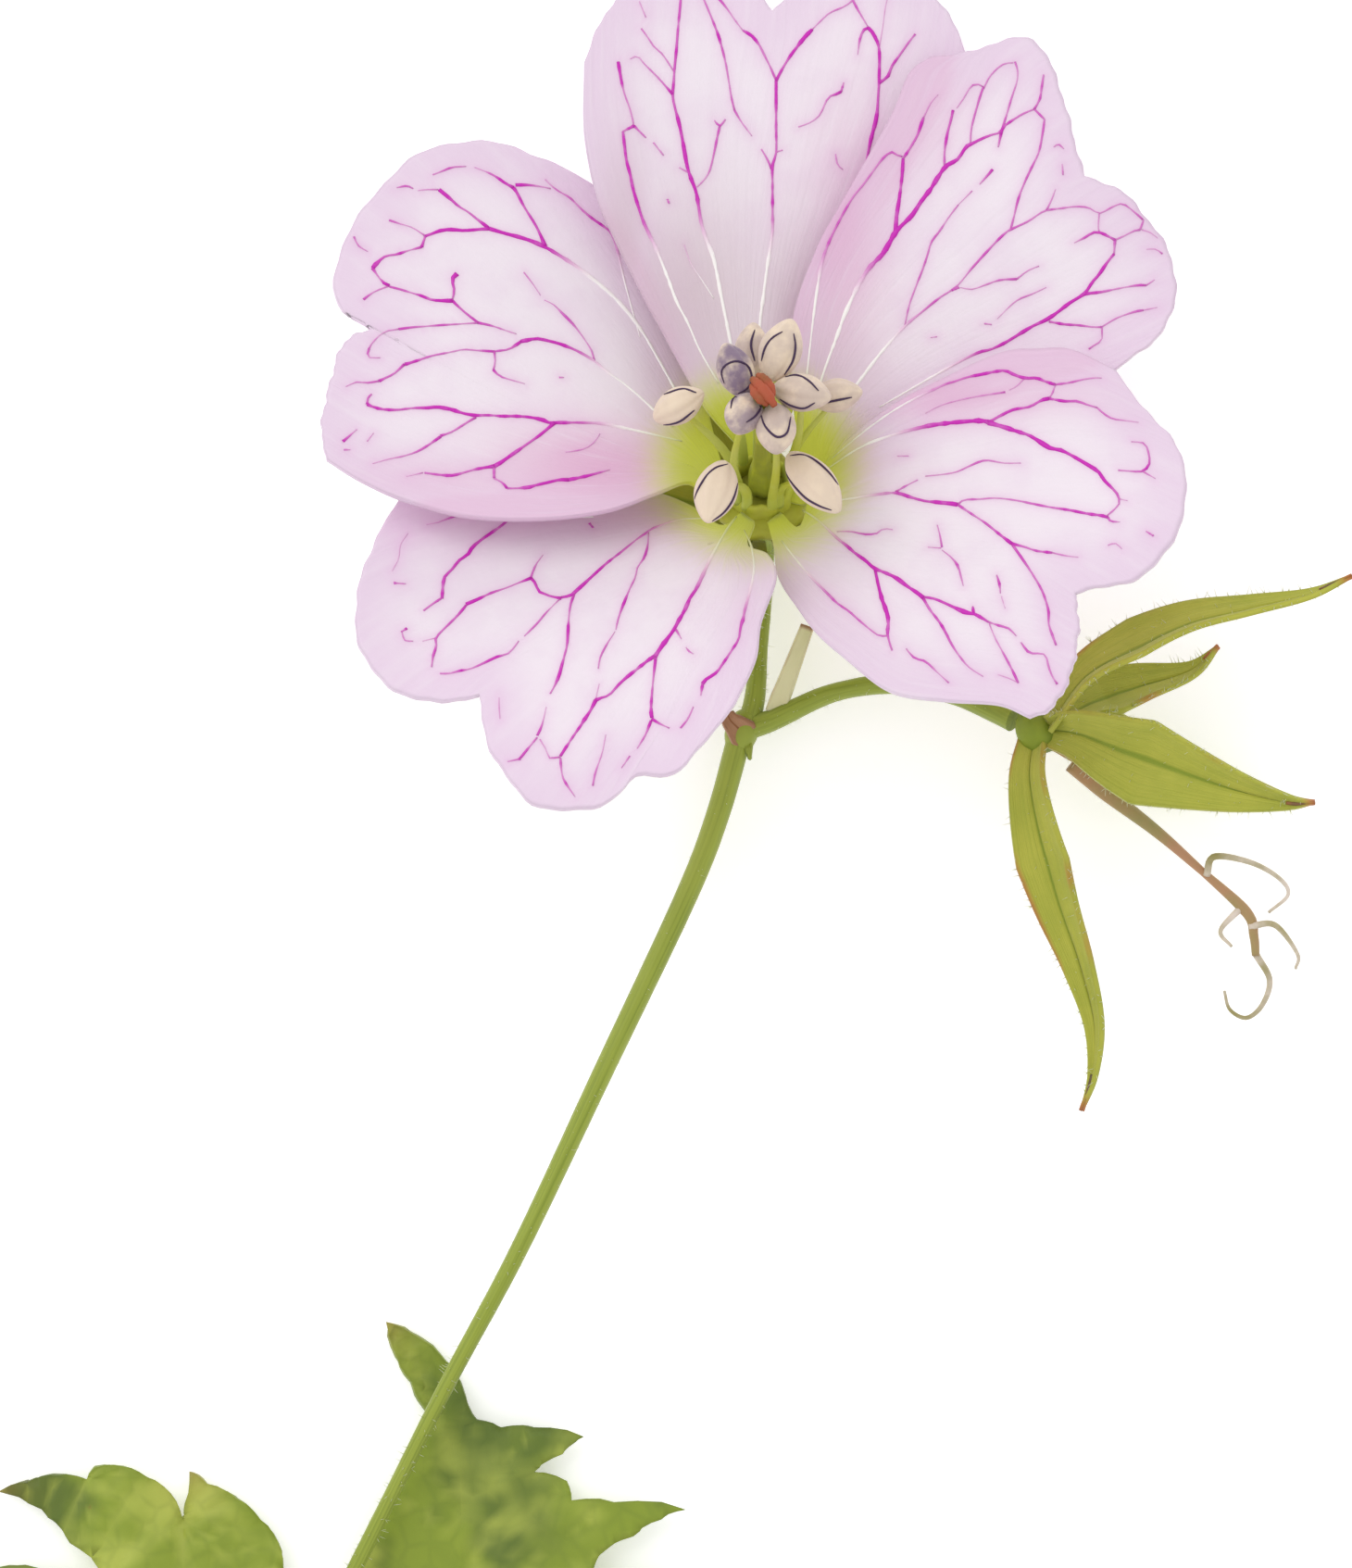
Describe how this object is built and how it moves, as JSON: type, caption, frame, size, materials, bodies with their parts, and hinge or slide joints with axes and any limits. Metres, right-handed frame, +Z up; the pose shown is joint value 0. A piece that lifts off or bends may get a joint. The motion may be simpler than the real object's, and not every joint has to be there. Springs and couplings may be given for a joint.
{
  "type": "hardy geranium",
  "caption": "Cut stem of a pink hardy geranium lying flat, with an open veined bloom, a spent bloom on a forked stalk and toothed leaves.",
  "frame": {"origin": "middle of the bounding box, on the surface that the cut stem lies on", "axes": "+Y from the cut end of the stem towards the open bloom, +Z up from the surface, +X to the right as the picture shows it"},
  "size_m": [0.0586, 0.0825, 0.0172],
  "materials": {
    "petal": "matte",
    "stem": "satin",
    "leaf": "matte",
    "calyx": "satin",
    "stamen": "matte",
    "pistil": "satin"
  },
  "bodies": {
    "root": {"petal_top": "petal", "petal_upper_right": "petal", "petal_lower_right": "petal", "petal_lower_left": "petal", "petal_left": "petal", "bloom_calyx": "calyx", "stamens": "stamen", "pistil": "pistil", "stem": "stem", "leaf_right": "leaf", "leaf_left": "leaf", "spent_calyx": "calyx", "spent_pistil": "pistil"}
  },
  "joints": []
}
